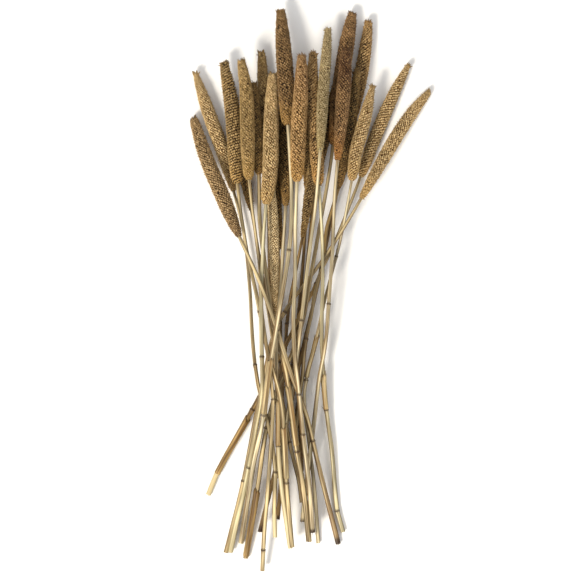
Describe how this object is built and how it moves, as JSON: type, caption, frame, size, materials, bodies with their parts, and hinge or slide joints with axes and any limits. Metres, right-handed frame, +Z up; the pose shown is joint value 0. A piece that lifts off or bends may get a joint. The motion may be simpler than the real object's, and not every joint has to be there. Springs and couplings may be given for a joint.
{
  "type": "bundle of dried millet spikes",
  "caption": "Loose bundle of dried pearl millet, long seed spikes on straw stems crossed at the waist and lying flat.",
  "frame": {"origin": "middle of the bundle's footprint, on the surface it lies on", "axes": "+Z up from the surface, +Y along the bundle towards the spike tips, +X across it to the right as seen from above"},
  "size_m": [0.3018, 0.7026, 0.0705],
  "materials": {
    "seed_spike": "matte, rough with rows of small dry seeds, sandy tan to umber brown from one spike to the next",
    "straw_culm": "satin dry straw with fine lengthwise ribs, darker at the joint rings",
    "leaf_sheath": "satin papery dry leaf sheath with lengthwise veins"
  },
  "bodies": {
    "root": {"spike_01": "seed_spike", "spike_02": "seed_spike", "spike_03": "seed_spike", "spike_04": "seed_spike", "spike_05": "seed_spike", "spike_06": "seed_spike", "spike_07": "seed_spike", "spike_08": "seed_spike", "spike_09": "seed_spike", "spike_10": "seed_spike", "spike_11": "seed_spike", "spike_12": "seed_spike", "spike_13": "seed_spike", "spike_14": "seed_spike", "spike_15": "seed_spike", "spike_16": "seed_spike", "spike_17": "seed_spike", "spike_18": "seed_spike", "spike_19": "seed_spike", "spike_20": "seed_spike", "spike_21": "seed_spike", "spike_22": "seed_spike", "spike_23": "seed_spike", "spike_24": "seed_spike", "spike_25": "seed_spike", "culm_01": "straw_culm", "culm_02": "straw_culm", "culm_03": "straw_culm", "culm_04": "straw_culm", "culm_05": "straw_culm", "culm_06": "straw_culm", "culm_07": "straw_culm", "culm_08": "straw_culm", "culm_09": "straw_culm", "culm_10": "straw_culm", "culm_11": "straw_culm", "culm_12": "straw_culm", "culm_13": "straw_culm", "culm_14": "straw_culm", "culm_15": "straw_culm", "culm_16": "straw_culm", "culm_17": "straw_culm", "culm_18": "straw_culm", "culm_19": "straw_culm", "culm_20": "straw_culm", "culm_21": "straw_culm", "culm_22": "straw_culm", "culm_23": "straw_culm", "culm_24": "straw_culm", "culm_25": "straw_culm", "sheath_03": "leaf_sheath", "sheath_07": "leaf_sheath", "sheath_08": "leaf_sheath", "sheath_10": "leaf_sheath", "sheath_14": "leaf_sheath", "sheath_17": "leaf_sheath", "sheath_23": "leaf_sheath", "sheath_25": "leaf_sheath"}
  },
  "joints": []
}
